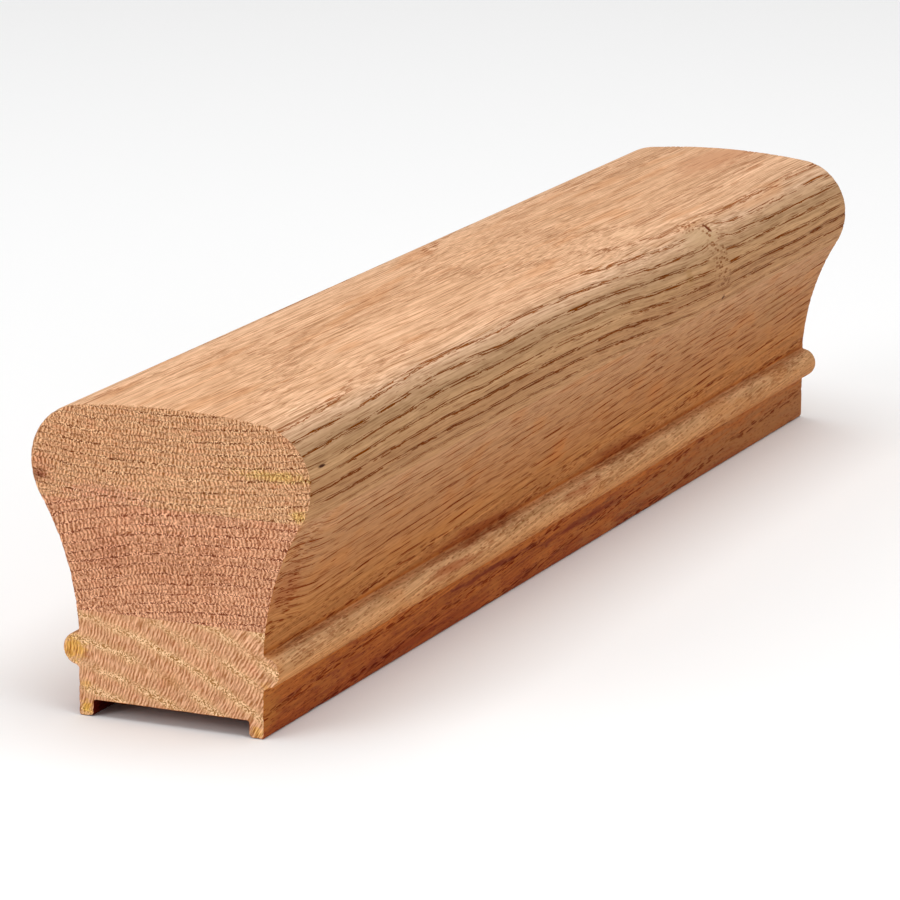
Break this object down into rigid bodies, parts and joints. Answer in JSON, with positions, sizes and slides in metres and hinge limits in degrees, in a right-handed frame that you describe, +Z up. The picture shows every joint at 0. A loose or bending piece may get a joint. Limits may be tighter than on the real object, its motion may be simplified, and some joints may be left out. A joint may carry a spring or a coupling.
{
  "type": "wooden handrail",
  "caption": "Straight length of moulded wooden handrail, glued up from flat boards, with a rounded grip, side beads and a shallow plow underneath.",
  "frame": {"origin": "middle of the underside, at the height of the lips' lower faces", "axes": "+Y along the rail, away from the end that the picture shows; +Z up to the crowned top; +X across to the right seen from that end"},
  "size_m": [0.0572, 0.28, 0.0603],
  "materials": {
    "bottom_oak": "planed bare red oak, pale straw, rings running down across the sawn end",
    "middle_oak": "planed bare red oak, pinkish brown, close level rings",
    "top_oak": "planed bare red oak, tan, with long open pores along the shoulders"
  },
  "bodies": {
    "root": {"bottom_board": "bottom_oak", "middle_board": "middle_oak", "top_board": "top_oak"}
  },
  "joints": []
}
